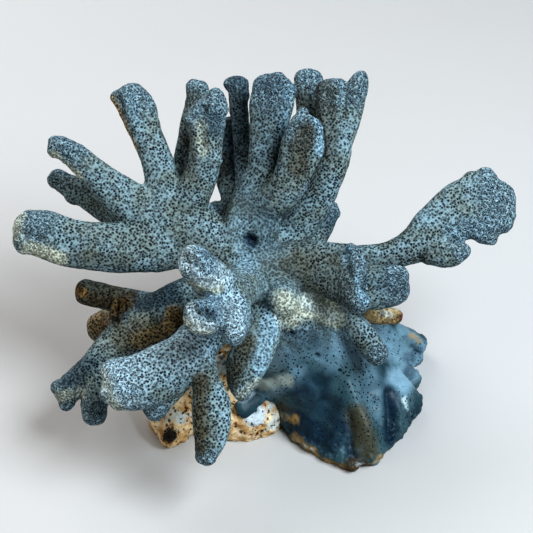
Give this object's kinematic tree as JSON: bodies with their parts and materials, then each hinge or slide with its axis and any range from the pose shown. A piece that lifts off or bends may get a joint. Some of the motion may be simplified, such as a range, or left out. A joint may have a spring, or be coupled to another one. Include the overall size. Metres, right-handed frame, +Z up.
{
  "type": "blue ridge coral",
  "caption": "Branching blue coral colony: flattened, lobed blades fan from a stout trunk on a spreading crust cut flat beneath, with its block of limestone rubble.",
  "frame": {"origin": "on the flat base cut, under the middle of the crust and the rubble", "axes": "+Z up, +X to the colony's right as seen from the front, +Y away from the front, towards which the back branches lean"},
  "size_m": [0.1916, 0.1397, 0.1233],
  "materials": {
    "coral_stone": "matt blue-grey skeleton with fine dark pores",
    "crust_stone": "smooth, slightly glossy deep blue crust with sparse pores",
    "worn_stone": "broken, stained tan and brown skeleton",
    "limestone": "rough porous tan limestone with dark pits"
  },
  "bodies": {
    "root": {"back_left_finger": "coral_stone", "back_right_blade": "coral_stone", "back_right_finger": "coral_stone", "base_crust": "crust_stone", "broken_stub": "worn_stone", "centre_paddle": "coral_stone", "centre_stem": "coral_stone", "drooping_finger": "coral_stone", "front_arm": "coral_stone", "front_curved_blade": "coral_stone", "front_left_arm": "coral_stone", "hanging_blade": "coral_stone", "hooked_finger": "coral_stone", "leaf_paddle": "coral_stone", "left_forked_finger": "coral_stone", "left_long_arm": "coral_stone", "left_palm": "coral_stone", "left_upper_finger": "coral_stone", "limestone_rubble": "limestone", "low_left_arm": "coral_stone", "lumpy_finger": "coral_stone", "main_trunk": "coral_stone", "rear_left_branch": "coral_stone", "rear_middle_branch": "coral_stone", "rear_right_branch": "coral_stone", "red_tipped_twig": "worn_stone", "right_knob": "coral_stone", "right_long_arm": "coral_stone", "right_shoulder": "coral_stone", "shadow_blade": "coral_stone", "tall_right_blade": "coral_stone", "tan_knob": "worn_stone", "thin_back_blade": "coral_stone"}
  },
  "joints": []
}
